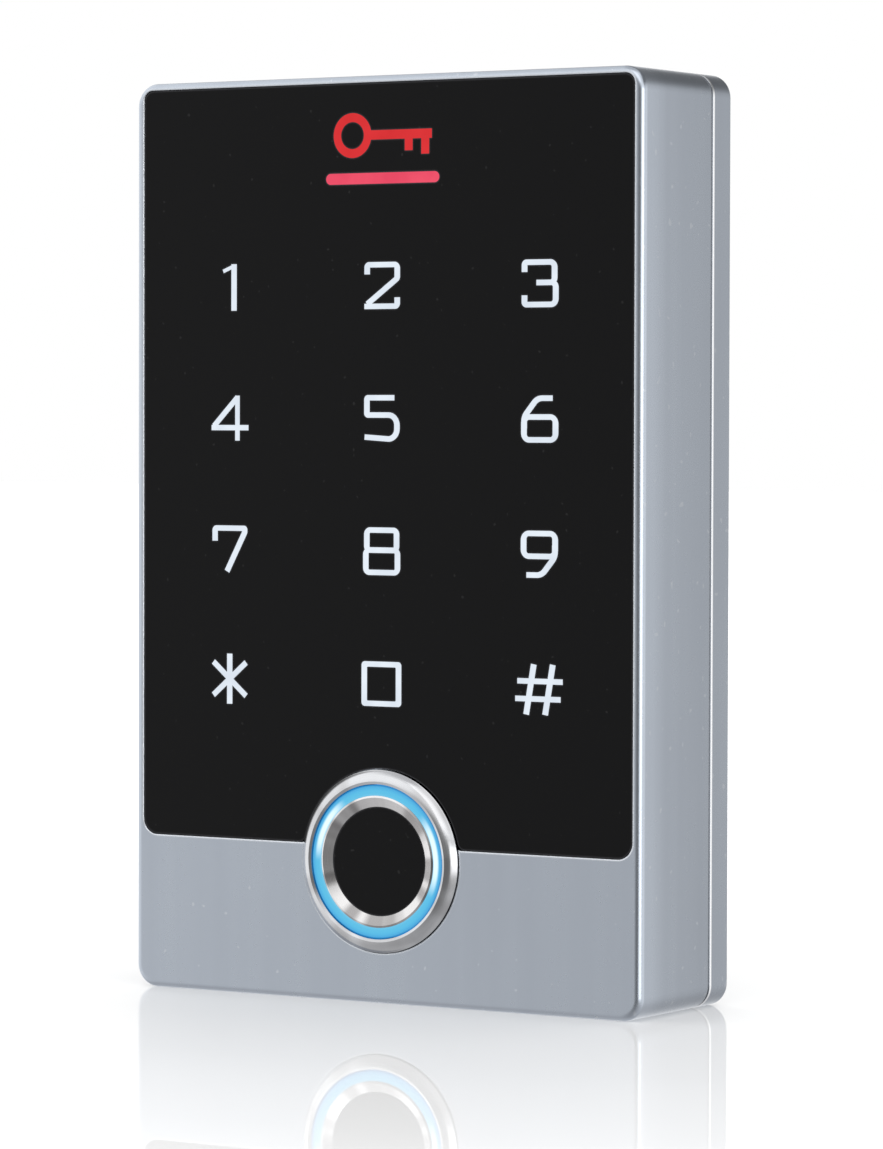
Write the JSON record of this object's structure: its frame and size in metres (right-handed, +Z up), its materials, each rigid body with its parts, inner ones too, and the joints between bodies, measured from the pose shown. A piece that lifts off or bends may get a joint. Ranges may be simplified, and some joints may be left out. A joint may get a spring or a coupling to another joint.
{
  "type": "keypad access reader",
  "caption": "Flat upright metal wall reader with a black touch keypad, lit legends and bar, and a round fingerprint sensor; it hooks onto a thin back cover and locks with a screw.",
  "frame": {"origin": "middle of the back face, in the wall plane, centred between the two side wall slots", "axes": "+X to the right as seen from the front, +Y into the wall (the front faces -Y), +Z up"},
  "size_m": [0.0776, 0.0239, 0.12],
  "materials": {
    "back_cover": "satin",
    "lock_bracket": "satin",
    "bracket_rivets": "satin",
    "cable_grommet": "matte",
    "front_housing": "satin",
    "touch_panel": "gloss",
    "panel_adhesive": "matte",
    "key_legends": "emissive",
    "status_light_bar": "emissive",
    "panel_emblem": "gloss",
    "light_diffuser": "satin",
    "keypad_board": "satin",
    "key_leds": "gloss",
    "touch_controller": "matte",
    "antenna_coil": "satin",
    "board_spacers": "satin",
    "main_board": "satin",
    "board_screws": "satin",
    "board_connector": "matte",
    "processor_chip": "matte",
    "lock_relay": "satin",
    "buzzer": "matte",
    "capacitors": "satin",
    "cable_connector": "satin",
    "tamper_photocell": "matte",
    "sensor_bezel": "satin",
    "sensor_gasket": "matte",
    "sensor_nut": "satin",
    "sensor_light_ring": "emissive",
    "sensor_steel_ring": "brushed",
    "sensor_window": "gloss",
    "sensor_chip": "satin",
    "sensor_board": "satin",
    "sensor_leds": "gloss",
    "sensor_cap": "matte",
    "sensor_plug": "satin",
    "sensor_ribbon": "satin",
    "sensor_socket": "satin",
    "rear_seal": "matte",
    "rear_plate": "matte",
    "rear_plate_screws": "satin",
    "cable_gland": "matte",
    "tamper_window": "gloss",
    "lock_screw": "satin"
  },
  "bodies": {
    "wall_side": {"back_cover": "back_cover", "lock_bracket": "lock_bracket", "bracket_rivets": "bracket_rivets", "cable_grommet": "cable_grommet"},
    "front_unit": {"front_housing": "front_housing", "touch_panel": "touch_panel", "panel_adhesive": "panel_adhesive", "key_legends": "key_legends", "status_light_bar": "status_light_bar", "panel_emblem": "panel_emblem", "light_diffuser": "light_diffuser", "keypad_board": "keypad_board", "key_leds": "key_leds", "touch_controller": "touch_controller", "antenna_coil": "antenna_coil", "board_spacers": "board_spacers", "main_board": "main_board", "board_screws": "board_screws", "board_connector": "board_connector", "processor_chip": "processor_chip", "lock_relay": "lock_relay", "buzzer": "buzzer", "capacitors": "capacitors", "cable_connector": "cable_connector", "tamper_photocell": "tamper_photocell", "sensor_bezel": "sensor_bezel", "sensor_gasket": "sensor_gasket", "sensor_nut": "sensor_nut", "sensor_light_ring": "sensor_light_ring", "sensor_steel_ring": "sensor_steel_ring", "sensor_window": "sensor_window", "sensor_chip": "sensor_chip", "sensor_board": "sensor_board", "sensor_leds": "sensor_leds", "sensor_cap": "sensor_cap", "sensor_plug": "sensor_plug", "sensor_ribbon": "sensor_ribbon", "sensor_socket": "sensor_socket", "rear_seal": "rear_seal", "rear_plate": "rear_plate", "rear_plate_screws": "rear_plate_screws", "cable_gland": "cable_gland", "tamper_window": "tamper_window"},
    "lock_screw": {"lock_screw": "lock_screw"}
  },
  "joints": [
    {"name": "unit_tilt", "type": "hinge", "parent": "wall_side", "child": "front_unit", "pos_m": [0, -0.0049, 0.06], "axis": [-1, 0, 0], "range_deg": [0, 20]},
    {"name": "lock_screw_travel", "type": "slide", "parent": "front_unit", "child": "lock_screw", "axis": [0, 0, 1], "range_m": [0, 0.002]}
  ]
}
